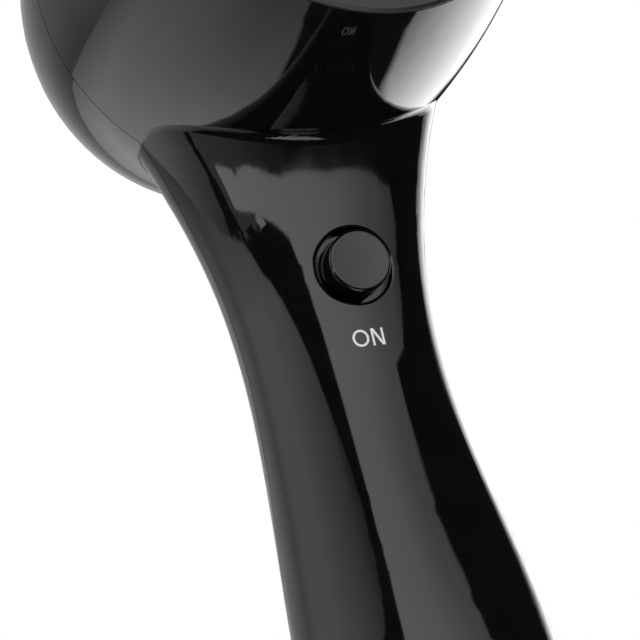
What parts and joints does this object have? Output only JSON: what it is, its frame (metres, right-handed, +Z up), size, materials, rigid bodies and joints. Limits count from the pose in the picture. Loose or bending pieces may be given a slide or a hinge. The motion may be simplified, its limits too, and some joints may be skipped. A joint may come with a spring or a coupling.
{
  "type": "travel hair dryer",
  "caption": "Compact pistol-grip hair dryer: round barrel with a ring outlet, fan and heater inside, leaning waisted handle with a round push button.",
  "frame": {"origin": "centre of the outlet bore's mouth, on the barrel's axis", "axes": "-Y is where the air blows, +Z is up with the handle hanging down, +X is to the dryer's left as seen by a person holding it"},
  "size_m": [0.076, 0.1043, 0.188],
  "materials": {
    "gloss_shell": "high-gloss black moulded plastic",
    "gloss_cap": "high-gloss black moulded plastic",
    "satin_bezel": "fine matt dark grey plastic",
    "black_grille": "matt black heat-resistant plastic",
    "mica": "pressed mica sheet, slightly pearly",
    "nichrome": "drawn resistance wire",
    "ceramic": "unglazed ceramic",
    "duct_plastic": "glass-filled plastic",
    "fan_plastic": "natural nylon",
    "steel": "zinc-plated or bright steel",
    "lamination": "stacked electrical steel",
    "ferrite": "sintered ferrite",
    "copper": "enamelled copper",
    "bronze": "sintered bronze",
    "carbon": "pressed carbon",
    "board": "phenolic circuit board",
    "component": "moulded component bodies",
    "switch_plastic": "phenolic switch housing",
    "white_plastic": "plain white moulding",
    "rubber": "soft black rubber",
    "screen": "perforated metal sheet"
  },
  "bodies": {
    "housing": {"front_shell": "gloss_shell", "rear_shell": "gloss_shell", "outlet_bezel": "satin_bezel", "outlet_grille": "black_grille", "heater_sleeve": "mica", "heater_board_a": "mica", "heater_board_b": "mica", "heating_coil": "nichrome", "thermostat": "ceramic", "thermal_fuse": "ceramic", "fan_duct": "duct_plastic", "motor_can": "steel", "motor_end_cap": "component", "bearing_front": "bronze", "bearing_rear": "bronze", "motor_magnets": "ferrite", "motor_brushes": "carbon", "inlet_grille": "black_grille", "inlet_screen": "screen", "button_guide": "duct_plastic", "button_spring": "steel", "switch_body": "switch_plastic", "switch_terminals": "bronze", "switch_carrier": "duct_plastic", "cord_gland": "rubber", "cord_clamp": "duct_plastic", "clamp_screws": "steel", "housing_screws": "steel", "rectifier_board": "board", "rectifier_diodes": "component"},
    "button": {"button_cap": "gloss_cap"},
    "plunger": {"switch_plunger": "white_plastic"},
    "rotor": {"fan": "fan_plastic", "motor_shaft": "steel", "rotor_core": "lamination", "rotor_windings": "copper", "commutator": "copper"}
  },
  "joints": [
    {"name": "button_press", "type": "slide", "parent": "housing", "child": "button", "axis": [0, 0.9999, 0.0161], "range_m": [0, 0.002], "stiffness_N_per_m": 900, "deforming": ["button_spring"]},
    {"name": "plunger_press", "type": "slide", "parent": "housing", "child": "plunger", "axis": [0, 0.9999, 0.0161], "range_m": [0, 0.002]},
    {"name": "fan_spin", "type": "hinge", "parent": "housing", "child": "rotor", "pos_m": [0, 0.08, 0], "axis": [0, 1, 0], "continuous": true}
  ],
  "couplings": [
    {"joint": "plunger_press", "follows": "button_press", "ratio": 1}
  ]
}
